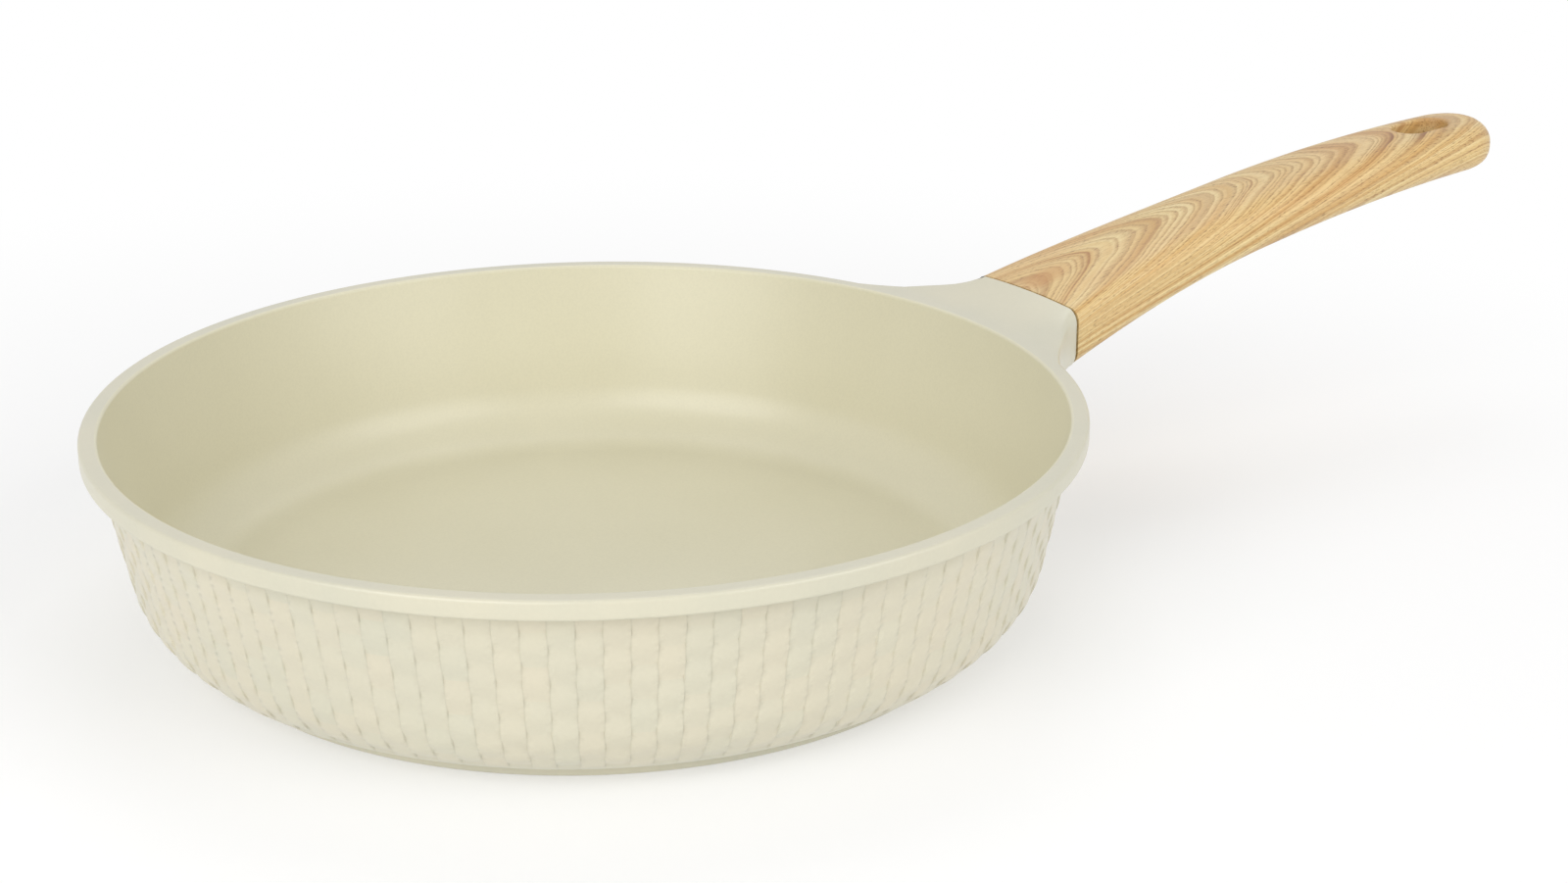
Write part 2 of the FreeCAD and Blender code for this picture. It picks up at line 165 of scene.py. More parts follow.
# ---------------------------------------------------------------- node helpers
def linear(hex_colour):
    """A colour written as sRGB hex, in the linear values that nodes take."""
    channels = [int(hex_colour[i:i + 2], 16) / 255 for i in (0, 2, 4)]
    return [c / 12.92 if c <= 0.04045 else ((c + 0.055) / 1.055) ** 2.4 for c in channels] + [1.0]


def add(tree, kind, inputs=None, **settings):
    """Adds a node; a value in inputs that is a socket is linked, and anything else is set."""
    node = tree.nodes.new(kind)
    for name, value in settings.items():
        setattr(node, name, value)
    for name, value in (inputs or {}).items():
        socket = node.inputs[name]
        if isinstance(value, bpy.types.NodeSocket):
            tree.links.new(value, socket)
        else:
            socket.default_value = value
    return node


def sums(tree, operation, *values):
    """A Math node's result."""
    node = add(tree, "ShaderNodeMath", dict(enumerate(values)), operation=operation)
    return node.outputs[0]


def ramp(tree, factor, stops):
    """A colour ramp through (position, hex or grey) stops."""
    node = add(tree, "ShaderNodeValToRGB", {"Fac": factor})
    elements = node.color_ramp.elements
    while len(elements) < len(stops):
        elements.new(0.5)
    for element, (position, colour) in zip(elements, stops):
        element.position = position
        element.color = linear(colour) if isinstance(colour, str) else [colour] * 3 + [1.0]
    return node.outputs["Color"]


def blend(tree, factor, a, b, mode="MIX"):
    """Two colours mixed."""
    node = add(tree, "ShaderNodeMix", data_type="RGBA", blend_type=mode)
    for socket, value in zip((node.inputs[0], node.inputs[6], node.inputs[7]), (factor, a, b)):
        if isinstance(value, bpy.types.NodeSocket):
            tree.links.new(value, socket)
        else:
            socket.default_value = value
    return node.outputs[2]


def noise(tree, place, scale, detail):
    """A noise texture's value at a place."""
    return add(tree, "ShaderNodeTexNoise", {
        "Vector": place, "Scale": scale, "Detail": detail}).outputs["Fac"]


def object_place(tree):
    """The place on the object, in metres."""
    return add(tree, "ShaderNodeTexCoord").outputs["Object"]


def attribute(tree, name, output="Fac"):
    """A value that the mesh carries."""
    return add(tree, "ShaderNodeAttribute", attribute_name=name).outputs[output]


def remap(tree, value, low, high, start=0.0, end=1.0, curve="LINEAR"):
    """Maps start to end of a value onto low to high."""
    return add(tree, "ShaderNodeMapRange", {
        "Value": value, "From Min": start, "From Max": end, "To Min": low, "To Max": high},
        interpolation_type=curve).outputs["Result"]


def vector(tree, operation, **inputs):
    """A Vector Math node's result; a and b are its operands, and scale its factor."""
    sockets = {"a": 0, "b": 1, "scale": "Scale"}
    node = add(tree, "ShaderNodeVectorMath", {sockets[key]: value for key, value in inputs.items()},
               operation=operation)
    return node.outputs["Value" if operation == "LENGTH" else 0]


def surface(tree, shader, colour, rough, height, strength, depth):
    """Wires a colour, a roughness and a bump from a height into the shader."""
    bump = add(tree, "ShaderNodeBump", {
        "Height": height, "Strength": strength, "Distance": depth}).outputs["Normal"]
    for name, value in (("Base Color", colour), ("Roughness", rough), ("Normal", bump)):
        tree.links.new(value, shader.inputs[name])


def material(name, **shader):
    """A new material; returns it, its tree and its Principled node with plain values set."""
    made = bpy.data.materials.new(name)
    made.use_nodes = True
    tree = made.node_tree
    principled = tree.nodes["Principled BSDF"]
    for key, value in shader.items():
        principled.inputs[key.replace("_", " ")].default_value = value
    return made, tree, principled


# ---------------------------------------------------------------- materials
def fired_enamel():
    """Sprayed and fired cream enamel on the casting.

    It is even and satin. Painted shade darkens the steps between the weave's strips, and each
    raised stretch of a strip gets a random warm tint that paints in the shading of its rise and
    fall.
    """
    made, tree, shader = material(
        "fired_cream_enamel", IOR=1.5, Coat_Weight=0.12, Coat_Roughness=0.2)
    place = object_place(tree)
    clouds = noise(tree, place, 22.0, 3.0)
    colour = ramp(tree, clouds, [(0.35, "C8C5B1"), (0.65, "CEC9B3")])
    slat, row, weave = (attribute(tree, name) for name in ("slat", "row", "weave"))
    number = sums(tree, "FLOOR", slat)
    turn = sums(tree, "MULTIPLY", sums(tree, "FLOORED_MODULO", number, 2.0), 0.5)
    cell = add(tree, "ShaderNodeCombineXYZ", {
        "X": number, "Y": sums(tree, "FLOOR", sums(tree, "ADD", row, turn))})
    patch = add(tree, "ShaderNodeTexWhiteNoise", {
        "Vector": cell.outputs[0]}, noise_dimensions="2D").outputs["Value"]
    # a random warm tint on each raised stretch, painted in for the shading of its rise and fall
    painted_stretch_shading = sums(tree, "MULTIPLY", sums(tree, "MULTIPLY", patch, 0.35), weave)
    colour = blend(tree, painted_stretch_shading, colour, linear("D3C7AF"))
    specks = ramp(tree, noise(tree, place, 900.0, 2.0), [(0.3, 0.6), (0.7, 1.0)])
    colour = blend(tree, 0.05, colour, specks, "MULTIPLY")
    # painted shade on the step between two strips, by the distance from their border as a share of
    # a strip
    border = sums(tree, "PINGPONG", slat, 0.5)
    step = sums(tree, "MULTIPLY", remap(tree, border, 0.12, 0.0, 0.02, 0.045), weave)
    colour = blend(tree, step, colour, linear("8C8A76"))
    orange_peel = noise(tree, place, 420.0, 1.0)
    surface(tree, shader, colour, remap(tree, clouds, 0.30, 0.38), orange_peel, 0.08, 0.3 * MM)
    return made


def ceramic_coating():
    """Sprayed beige ceramic non-stick coating: satin, with a very fine mineral speckle."""
    made, tree, shader = material(
        "sprayed_ceramic_coating", IOR=1.5, Coat_Weight=0.3, Coat_Roughness=0.25)
    place = object_place(tree)
    clouds = noise(tree, place, 12.0, 2.0)
    colour = ramp(tree, clouds, [(0.35, "D0CBB0"), (0.65, "D4CFB5")])
    grit = noise(tree, place, 1400.0, 3.0)
    colour = blend(tree, 0.06, colour, ramp(tree, grit, [(0.35, 0.5), (0.6, 1.0)]), "MULTIPLY")
    surface(tree, shader, colour, remap(tree, clouds, 0.36, 0.44), grit, 0.06, 0.2 * MM)
    return made


class Film:
    """Noises and masks laid out on the straightened plank, whose units are millimetres."""

    def __init__(self, tree):
        self.tree = tree
        self.place = attribute(tree, "grain", "Vector")

    def noise(self, scales, detail=2.0, roughness=0.5):
        """Noise stretched along the plank by its three scales."""
        placed = add(self.tree, "ShaderNodeMapping", {"Vector": self.place, "Scale": scales})
        return add(self.tree, "ShaderNodeTexNoise", {
            "Vector": placed.outputs[0], "Scale": 1.0, "Detail": detail,
            "Roughness": roughness}).outputs["Fac"]

    def line_noise(self, value, scale, detail=2.0):
        """Noise along a single value."""
        return add(self.tree, "ShaderNodeTexNoise", {
            "W": value, "Scale": scale, "Detail": detail}, noise_dimensions="1D").outputs["Fac"]

    def spot(self, centre, reach):
        """A soft oval mask round a point."""
        offset = vector(self.tree, "SUBTRACT", a=self.place, b=centre)
        away = vector(self.tree, "LENGTH", a=vector(self.tree, "DIVIDE", a=offset, b=reach))
        return remap(self.tree, away, 1.0, 0.0, 0.3, 1.0, "SMOOTHSTEP")


def growth_rings(tree, film):
    """The number of the growth ring at a place, and how far on top of the handle the place is.

    Lines of equal value arch across the top towards the tip, and run straighter the further
    round the handle they lie.
    """
    along, across, above = add(tree, "ShaderNodeSeparateXYZ", {"Vector": film.place}).outputs
    on_top = remap(tree, sums(tree, "ABSOLUTE", across), 1.0, 0.0, 6.0, 18.0, "SMOOTHSTEP")
    # distance round the handle from a middle line that wanders along its top
    sway = sums(tree, "MULTIPLY_ADD", film.line_noise(along, 0.018), 9.0, -3.5)
    sway = sums(tree, "MULTIPLY", sway, on_top)
    aside = sums(tree, "ABSOLUTE", sums(tree, "SUBTRACT", across, sway))
    below = sums(tree, "SUBTRACT", sums(tree, "MULTIPLY_ADD", along, -0.008, 9.9), above)
    around = sums(tree, "ADD", aside, below)
    arch = sums(tree, "SQRT", sums(tree, "MULTIPLY_ADD", around, around, 25.0))
    edge = sums(tree, "MULTIPLY", sums(tree, "POWER", around, 4.0), 4.2e-6)
    wander = sums(tree, "MULTIPLY", film.noise((0.009, 0.04, 0.04)), 1.3)
    ripple = sums(tree, "MULTIPLY", film.noise((0.05, 0.25, 0.25)), 0.14)
    ring = sums(tree, "ADD", sums(tree, "MULTIPLY_ADD", along, 0.075, edge),
                sums(tree, "MULTIPLY_ADD", arch, 0.12, sums(tree, "ADD", wander, ripple)))
    return ring, on_top


def wood_film():
    """Printed wood film wrapped round the moulding.

    Flat-sawn arches lie on top and long straight grain at the sides, with open pores and a
    satin lacquer over all.
    """
    made, tree, shader = material(
        "printed_wood_film", IOR=1.5, Coat_Weight=0.15, Coat_Roughness=0.3)
    film = Film(tree)
    ring, on_top = growth_rings(tree, film)
    uneven = sums(tree, "MULTIPLY_ADD", film.line_noise(ring, 0.45), 2.4, ring)
    # pale early wood, in bands and warmer patches
    colour = ramp(tree, film.line_noise(ring, 1.1, 4.0), [
        (0.32, "C6A46A"), (0.45, "D4BB86"), (0.6, "DECC9C")])
    warm = ramp(tree, film.noise((0.012, 0.05, 0.05), 3.0), [(0.4, 0.0), (0.65, 1.0)])
    colour = blend(tree, sums(tree, "MULTIPLY", warm, 0.45), colour, linear("CFA674"))
    # bold late-wood lines, each with one soft and one sharp side, weaker down the sides
    bold = sums(tree, "FRACT", sums(tree, "DIVIDE", uneven, 1.6))
    late = ramp(tree, bold, [(0.0, 0.4), (0.04, 0.0), (0.55, 0.03), (0.87, 0.33), (0.965, 1.0)])
    strength = ramp(tree, film.line_noise(uneven, 0.31), [(0.38, 0.15), (0.58, 0.9)])
    strength = sums(tree, "MULTIPLY", strength, sums(tree, "MULTIPLY_ADD", on_top, 0.5, 0.4))
    colour = blend(tree, sums(tree, "MULTIPLY", late, strength), colour, linear("9C6B36"))
    fine = sums(tree, "FRACT", sums(tree, "DIVIDE", uneven, 0.30))
    thin = ramp(tree, fine, [(0.0, 0.4), (0.12, 0.0), (0.5, 0.1), (0.85, 1.0)])
    colour = blend(tree, sums(tree, "MULTIPLY", thin, 0.48), colour, linear("9E7440"))
    # open pores: short dark flecks that line up with the fine lines
    pores = film.noise((0.55, 2.6, 2.6), 2.0, 0.7)
    dots = ramp(tree, pores, [(0.36, 1.0), (0.47, 0.0)])
    flecks = sums(tree, "MULTIPLY", dots, sums(tree, "MULTIPLY_ADD", thin, 0.55, 0.25))
    colour = blend(tree, flecks, colour, linear("7E5A30"))
    fibres = ramp(tree, film.noise((0.06, 2.2, 2.2), 3.0, 0.6), [
        (0.35, "C0A070"), (0.65, "F4E4BC")])
    colour = blend(tree, 0.3, colour, fibres, "SOFT_LIGHT")
    # darker heartwood at the seam, streaks that gather at the hang hole, dull film inside it
    hole = (HANG_X - NECK_X) / MM
    heart = sums(tree, "MULTIPLY", film.spot((7.0, 2.0, 9.0), (13.0, 7.0, 9.0)), 0.5)
    colour = blend(tree, heart, colour, linear("B9803F"))
    streak = sums(tree, "MULTIPLY", film.spot((hole - 6.0, -5.0, 8.0), (34.0, 8.0, 9.0)), late)
    colour = blend(tree, streak, colour, linear("82501F"))
    inside = sums(tree, "MULTIPLY", film.spot((hole, 0.0, -1.0), (15.0, 9.0, 11.0)), 0.75)
    colour = blend(tree, inside, colour, linear("B5A883"))
    surface(tree, shader, colour, remap(tree, pores, 0.52, 0.42), pores, 0.12, 0.3 * MM)
    return made


def turned_steel():
    """Ferritic stainless disc, faced on a lathe: fine rings that stretch the highlight."""
    made, tree, shader = material("turned_stainless_steel", Metallic=1.0)
    parts = add(tree, "ShaderNodeSeparateXYZ", {"Vector": object_place(tree)}).outputs
    flat = add(tree, "ShaderNodeCombineXYZ", {"X": parts["X"], "Y": parts["Y"]}).outputs[0]
    rings = add(tree, "ShaderNodeTexNoise", {
        "W": vector(tree, "LENGTH", a=flat), "Scale": 1600.0, "Detail": 3.0},
        noise_dimensions="1D").outputs["Fac"]
    colour = ramp(tree, rings, [(0.3, "A9A8A4"), (0.7, "C9C8C3")])
    surface(tree, shader, colour, remap(tree, rings, 0.26, 0.42), rings, 0.2, 0.2 * MM)
    return made


def small_part(name, dark, light, roughness, metallic=0.0):
    """A small part's finish: two close tones broken up by a fine noise, with a matching bump."""
    made, tree, shader = material(name, Metallic=metallic)
    grit = noise(tree, object_place(tree), 700.0, 3.0)
    colour = ramp(tree, grit, [(0.35, dark), (0.65, light)])
    rough = remap(tree, grit, roughness - 0.06, roughness + 0.06)
    surface(tree, shader, colour, rough, grit, 0.1, 0.2 * MM)
    return made


enamel = fired_enamel()
coating = ceramic_coating()
wood = wood_film()
finishes = {
    "induction_plate": turned_steel(),
    # grey-brown moulded silicone: matte, so the seam reads as a thin shadow
    "handle_gasket": small_part("moulded_grey_silicone", "8F8775", "9C937F", 0.7),
    # machined brass: warm and bright
    "thread_insert": small_part("machined_brass", "B08D4A", "C9A660", 0.3, metallic=1.0),
    # zinc-plated steel: cool, with a soft shine
    "screw_washer": small_part(
        "zinc_plated_steel_washer", "A8AAAD", "C4C6C8", 0.35, metallic=1.0),
    "handle_screw": small_part(
        "zinc_plated_steel_screw", "A8AAAD", "C4C6C8", 0.35, metallic=1.0),
    # tan moulded silicone: close to the wood, so the plug hides
    "screw_plug": small_part("moulded_tan_silicone", "A5814F", "B58F5C", 0.6),
}


# ---------------------------------------------------------------- mesh building
class Skin:
    """Collects patches of quads, then welds them into one mesh."""

    def __init__(self):
        self.mesh = bmesh.new()
        self.layers = {}

    def layer(self, name, kind="float"):
        """A value per vertex that materials or modifiers read."""
        store = self.mesh.verts.layers
        self.layers[name] = (store.float if kind == "float" else store.float_vector).new(name)

    def vertex(self, place, **values):
        """One vertex, with its layer values."""
        made = self.mesh.verts.new(place)
        for name, value in values.items():
            made[self.layers[name]] = value
        return made

    def patch(self, rows, closed=False):
        """Joins neighbouring rows of vertices with quads; closed joins each row's ends."""
        for low, high in zip(rows, rows[1:]):
            count = len(low) if closed else len(low) - 1
            for i in range(count):
                following = (i + 1) % len(low)
                self.mesh.faces.new((low[i], low[following], high[following], high[i]))

    def finish(self, name, angle=40.0):
        """Welds, points the faces outwards, shades smooth below the angle and makes the object."""
        bmesh.ops.remove_doubles(self.mesh, verts=self.mesh.verts, dist=0.01 * MM)
        bmesh.ops.dissolve_degenerate(self.mesh, edges=self.mesh.edges, dist=0.005 * MM)
        bmesh.ops.recalc_face_normals(self.mesh, faces=self.mesh.faces)
        if self.mesh.calc_volume(signed=True) < 0:
            bmesh.ops.reverse_faces(self.mesh, faces=self.mesh.faces)
        data = bpy.data.meshes.new(name)
        self.mesh.to_mesh(data)
        self.mesh.free()
        data.polygons.foreach_set("use_smooth", [True] * len(data.polygons))
        data.set_sharp_from_angle(angle=math.radians(angle))
        made = bpy.data.objects.new(name, data)
        bpy.context.scene.collection.objects.link(made)
        return made


# ---------------------------------------------------------------- pan body
Station = namedtuple("Station", "angle slat x y out_x out_y share on_face")


def bowl_corner(wall_radius, wall_height, base, radius):
    """Centre of the rounding between a tapered wall, known at one point, and a level base."""
    corner = wall_radius - (wall_height - base) * math.tan(TAPER)
    setback = radius / math.tan((math.pi / 2 + TAPER) / 2)
    return corner - setback, base + radius


def wall_path():
    """The outer wall from the foot to the band, as (radius, height)."""
    wall_top = (RIM_R - BAND_STEP, HEIGHT - BAND)
    centre = bowl_corner(*wall_top, FOOT_LIFT, OUTER_CORNER)
    foot_angle = -math.degrees(math.acos((FOOT_R - centre[0]) / OUTER_CORNER))
    arc = arc_points(centre, OUTER_CORNER, foot_angle, -math.degrees(TAPER), CORNER_STEPS)
    return arc + [wall_top]


WALL_PATH = wall_path()
WALL_LENGTH = sum(math.dist(a, b) for a, b in zip(WALL_PATH, WALL_PATH[1:]))


def along_path(path, distance):
    """The point at a distance along a polyline, from its start."""
    for start, end in zip(path, path[1:]):
        step = math.dist(start, end)
        if distance <= step or end is path[-1]:
            share = distance / step
            return mix(start[0], end[0], share), mix(start[1], end[1], share)
        distance -= step


def lug_top(x, y):
    """Height of the lug's top: flush with the rim, then ramping up to the crowned seam."""
    if x <= RIM_R:
        return HEIGHT
    run = (x - RIM_R) / (SEAM_X - RIM_R)
    chord = (Vector((SEAM_X, NECK_TOP)) - Vector((RIM_R, HEIGHT))).length
    sag = chord ** 2 / 8 / LUG_RAMP * 4 * run * (1 - run)
    crown = SEAM_CROWN * (y / NECK_HALF) ** 2 * smooth(run)
    return mix(HEIGHT, NECK_TOP, run) - sag - crown


def flank(share, side):
    """A point of the lug's outline in plan and its outward direction, by share of the way out."""
    end = (SEAM_X, NECK_HALF)
    x, y = arc_between(end, LUG_START, LUG_FLARE, 1 - share)
    if share >= 1:
        return x, side * y, 0.0, float(side)
    ahead = arc_between(end, LUG_START, LUG_FLARE, 1 - share + 0.001)
    tangent = (Vector(ahead) - Vector((x, y))).normalized()
    out = Vector((tangent.y, -tangent.x))
    if out.y < 0:
        out = -out
    return x, side * y, out.x, side * out.y


def stations():
    """The directions round the pan in which its section is drawn.

    Each has its angle, its place counted in strips, a point of the outline and the outward
    direction there, its share of the way along the lug's flank, and whether it ends on the flat
    face at the seam.
    """
    plain_cuts = (0.02, 0.26, 0.5, 0.74, 0.98)
    lug_cuts = (0.02, 0.12, 0.21, 0.31, 0.41, 0.5, 0.59, 0.69, 0.79, 0.88, 0.98)
    pitch = 2 * math.pi / SLATS
    found = []
    for slat in range(-SLATS // 2, SLATS // 2):
        near_lug = abs((slat + 0.5) * pitch) < LUG_ANGLE + pitch
        for cut in lug_cuts if near_lug else plain_cuts:
            found.append(((slat + cut) * pitch, slat + cut))
    for angle in (-LUG_ANGLE, -FACE_ANGLE, FACE_ANGLE, LUG_ANGLE):
        found.append((angle, angle / pitch))
    result = []
    for angle, slat in sorted(found):
        size = abs(angle)
        if size >= LUG_ANGLE:
            out = (math.cos(angle), math.sin(angle))
            result.append(Station(angle, slat, RIM_R * out[0], RIM_R * out[1], *out, 0.0, False))
            continue
        # the two stations at the face's edge belong to the flank and to the face
        if size >= FACE_ANGLE - 1e-9:
            share = (LUG_ANGLE - size) / (LUG_ANGLE - FACE_ANGLE)
            side = 1 if angle > 0 else -1
            result.append(Station(angle, slat, *flank(share, side), share, False))
        if size <= FACE_ANGLE + 1e-9:
            y = (NECK_HALF - SEAM_ROUND_TOP) * angle / FACE_ANGLE
            result.append(Station(angle, slat, SEAM_X, y, 1.0, 0.0, 1.0, True))
    return result


def band_section(station):
    """The band's or lug's edge at one station, from its underside to its top, as points."""
    x, y, share = station.x, station.y, station.share
    round_top = mix(RIM_ROUND, SEAM_ROUND_TOP, smooth((share - 0.55) / 0.45))
    round_under = mix(RIM_ROUND, SEAM_ROUND_UNDER, smooth(share))
    under = mix(HEIGHT - BAND, NECK_UNDER, smooth(share * 1.1))
    top = lug_top(x, y)
    if station.on_face:
        count = 2 * ROUND_STEPS + 3
        return [(x, y, mix(under, top, i / count)) for i in range(count + 1)]
    section = arc_points((-round_under, under + round_under), round_under, -90, 0, ROUND_STEPS)
    low, high = section[-1][1], top - round_top
    section += [(0.0, mix(low, high, t)) for t in (1 / 3, 2 / 3)]
    section += arc_points((-round_top, top - round_top), round_top, 0, 90, ROUND_STEPS)
    points = []
    for offset, z in section:
        px, py = x + station.out_x * offset, y + station.out_y * offset
        shift = (lug_top(px, py) - top) * smooth((z - under) / (top - under))
        points.append((px, py, z + shift))
    return points


def inner_path():
    """The inside from the rim's mouth to the floor's centre, as (radius, height)."""
    mouth = RIM_R - RIM_WIDTH
    centre = bowl_corner(mouth, HEIGHT, FLOOR_TOP, INNER_CORNER)
    lip = arc_points((mouth + RIM_ROUND, HEIGHT - RIM_ROUND), RIM_ROUND, 90, 180, 4)
    arc = arc_points(centre, INNER_CORNER, -math.degrees(TAPER), -90, 14)
    wall = [tuple(mix(a, b, i / 8) for a, b in zip(lip[-1], arc[0])) for i in range(1, 8)]
    floor = [(arc[-1][0] * (1 - i / 6), FLOOR_TOP) for i in range(1, 6)]
    return lip + wall + arc + floor


def underside_path():
    """The underside from near its centre, under the plate, to the foot's outer edge."""
    edge = FOOT_R - FOOT_EDGE
    path = [(PLATE_R * 0.5, PLATE_TOP), (PLATE_R, PLATE_TOP), (PLATE_R, 0.0), (edge, 0.0)]
    return path + arc_points((edge, FOOT_EDGE), FOOT_EDGE, -90, 0, 3)[1:]


def pan_row(skin, station, underside, inside):
    """One section through the casting, from the underside's middle out and round to the floor's."""
    turn = (math.cos(station.angle), math.sin(station.angle))

    def ring(radius, z, **values):
        return skin.vertex((radius * turn[0], radius * turn[1], z), **values)

    row = [ring(r, z) for r, z in underside]
    # under the lug the wall stops lower, where the lug's underside meets it
    near = smooth((1 - abs(station.angle) / LUG_ANGLE) * 2.2)
    wall_top = mix(WALL_LENGTH, WALL_LENGTH - (HEIGHT - BAND - NECK_UNDER) * 0.95, near)
    for i in range(WALL_ROWS + 1):
        distance = wall_top * i / WALL_ROWS
        r, z = along_path(WALL_PATH, distance)
        fade = smooth((distance - WEAVE_STOP) / WEAVE_FADE_LOW)
        fade *= smooth((wall_top - distance) / WEAVE_FADE_HIGH)
        row.append(ring(r, z, slat=station.slat, row=distance / WEAVE_ROW, weave=fade))
    edge = band_section(station)
    start = row[-1].co.copy()
    for i in range(1, UNDER_STEPS):
        row.append(skin.vertex(start.lerp(Vector(edge[0]), i / UNDER_STEPS)))
    row += [skin.vertex(point) for point in edge]
    mouth = Vector((inside[0][0] * turn[0], inside[0][0] * turn[1], HEIGHT))
    for i in range(1, TOP_STEPS):
        place = Vector(edge[-1]).lerp(mouth, i / TOP_STEPS)
        place.z = lug_top(place.x, place.y)
        row.append(skin.vertex(place))
    return row + [ring(r, z, inside=1.0) for r, z in inside]


def make_pan():
    """The casting's skin: one closed shell with the lug drawn out of the band."""
    skin = Skin()
    for name in ("slat", "row", "weave", "inside"):
        skin.layer(name)
    underside, inside = underside_path(), inner_path()
    rows = [pan_row(skin, station, underside, inside) for station in stations()]
    rows.append(rows[0])
    skin.patch(rows)
    for index, z in ((0, PLATE_TOP), (-1, FLOOR_TOP)):
        centre = skin.vertex((0, 0, z), inside=1.0 if index else 0.0)
        for a, b in zip(rows, rows[1:]):
            skin.mesh.faces.new((a[index], b[index], centre))
    return skin.finish("pan_casting")


def weave_tree():
    """Presses the woven relief into the wall: neighbouring strips rise and dip in turn."""
    tree = bpy.data.node_groups.new("woven_relief", "GeometryNodeTree")
    face = tree.interface
    for way in ("INPUT", "OUTPUT"):
        face.new_socket("Geometry", in_out=way, socket_type="NodeSocketGeometry")
    for name in ("Relief", "Crown", "Sway"):
        face.new_socket(name, in_out="INPUT", socket_type="NodeSocketFloat")
    for name in ("Outside", "Inside"):
        face.new_socket(name, in_out="INPUT", socket_type="NodeSocketMaterial")
    given = tree.nodes.new("NodeGroupInput").outputs
    slat, row, weave, is_inside = (
        add(tree, "GeometryNodeInputNamedAttribute", {"Name": name}, data_type="FLOAT").outputs[0]
        for name in ("slat", "row", "weave", "inside"))
    # every other strip is half a stretch behind
    odd = sums(tree, "FLOORED_MODULO", sums(tree, "FLOOR", slat), 2.0)
    phase = sums(tree, "MULTIPLY_ADD", odd, 0.5, sums(tree, "ADD", row, 0.5))
    swing = sums(tree, "COSINE", sums(tree, "MULTIPLY", phase, 2 * math.pi))
    # from -1 to 1 across a strip
    centred = sums(tree, "MULTIPLY_ADD", sums(tree, "FRACT", slat), 2.0, -1.0)
    aside = sums(tree, "ABSOLUTE", centred)
    dip = sums(tree, "MULTIPLY", sums(tree, "POWER", aside, 3.0), given["Crown"])
    rise = sums(tree, "SUBTRACT", sums(tree, "MULTIPLY", swing, given["Relief"]), dip)
    rise = sums(tree, "MULTIPLY", sums(tree, "SUBTRACT", rise, given["Relief"]), weave)
    lean = sums(tree, "MULTIPLY", sums(tree, "POWER", aside, 8.0), sums(tree, "SIGN", centred))
    lean = sums(tree, "MULTIPLY", sums(tree, "MULTIPLY", lean, swing), given["Sway"])
    lean = sums(tree, "MULTIPLY", lean, weave)
    normal = tree.nodes.new("GeometryNodeInputNormal").outputs[0]
    sideways = vector(tree, "CROSS_PRODUCT", a=(0.0, 0.0, 1.0), b=normal)
    move = vector(tree, "ADD", a=vector(tree, "SCALE", a=normal, scale=rise),
                  b=vector(tree, "SCALE", a=sideways, scale=lean))
    moved = add(tree, "GeometryNodeSetPosition", {"Geometry": given["Geometry"], "Offset": move})
    realized = add(tree, "GeometryNodeRealizeInstances", {"Geometry": moved.outputs[0]})
    outside = add(tree, "GeometryNodeSetMaterial", {
        "Geometry": realized.outputs[0], "Material": given["Outside"]})
    chosen = add(tree, "FunctionNodeCompare", {"A": is_inside, "B": 0.5}, operation="GREATER_THAN")
    inside = add(tree, "GeometryNodeSetMaterial", {
        "Geometry": outside.outputs[0], "Selection": chosen.outputs[0],
        "Material": given["Inside"]})
    add(tree, "NodeGroupOutput", {"Geometry": inside.outputs[0]})
    return tree


def apply_tree(item, tree, values):
    """Runs a geometry tree on an object, with inputs set by name, and keeps the plain mesh."""
    modifier = item.modifiers.new(tree.name, "NODES")
    modifier.node_group = tree
    for socket in tree.interface.items_tree:
        if socket.in_out == "INPUT" and socket.name in values:
            modifier[socket.identifier] = values[socket.name]
    bpy.context.view_layer.update()
    graph = bpy.context.evaluated_depsgraph_get()
    result = bpy.data.meshes.new_from_object(item.evaluated_get(graph), depsgraph=graph)
    item.modifiers.remove(modifier)
    item.data = result
    return item


pan = make_pan()
apply_tree(pan, weave_tree(), {
    "Relief": WEAVE_RELIEF, "Crown": WEAVE_CROWN, "Sway": WEAVE_SWAY,
    "Outside": enamel, "Inside": coating})
pan.data.set_sharp_from_angle(angle=math.radians(50))
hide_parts("pan_body")
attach(pan, "root")


# ---------------------------------------------------------------- handle
def bow(x, low, high, radius):
    """Height on the arc of that radius, bowed upwards, from the neck to the tip."""
    share = (x - NECK_X) / (TIP_X - NECK_X)
    chord = math.dist((NECK_X, low), (TIP_X, high))
    return mix(low, high, share) + chord ** 2 / (8 * radius) * 4 * share * (1 - share)


def half_width(x):
    """Half the handle's width at x: wide at the neck, easing into the grip, slimmer at the tip."""
    flare = 1 - min(1.0, (x - NECK_X) / FLARE)
    slim = max(0.0, (x - NECK_X - FLARE) / (TIP_CENTRE - NECK_X - FLARE))
    return (GRIP_HALF + (NECK_HALF - GRIP_HALF) * flare ** 2
            - (GRIP_HALF - TIP_HALF) * min(1.0, slim))


def roundings(x):
    """Radii of the upper and lower long edges, and the crown of both faces, at x."""
    share = smooth((x - NECK_X) / FLARE)
    return (mix(SEAM_ROUND_TOP, GRIP_ROUND, share), mix(SEAM_ROUND_UNDER, GRIP_ROUND, share),
            mix(SEAM_CROWN, GRIP_CROWN, share))


def handle_height(x, y, level):
    """Height of a point: level 1 is the top face's middle line and 0 the underside's."""
    top = bow(x, NECK_TOP, TIP_TOP, TOP_ARC)
    under = bow(x, NECK_UNDER, TIP_UNDER, UNDER_ARC)
    capped = min(x, TIP_CENTRE)
    crown = roundings(capped)[2] * (y / half_width(capped)) ** 2
    face = 2 * level - 1
    return mix(under, top, level) - crown * face * abs(face)


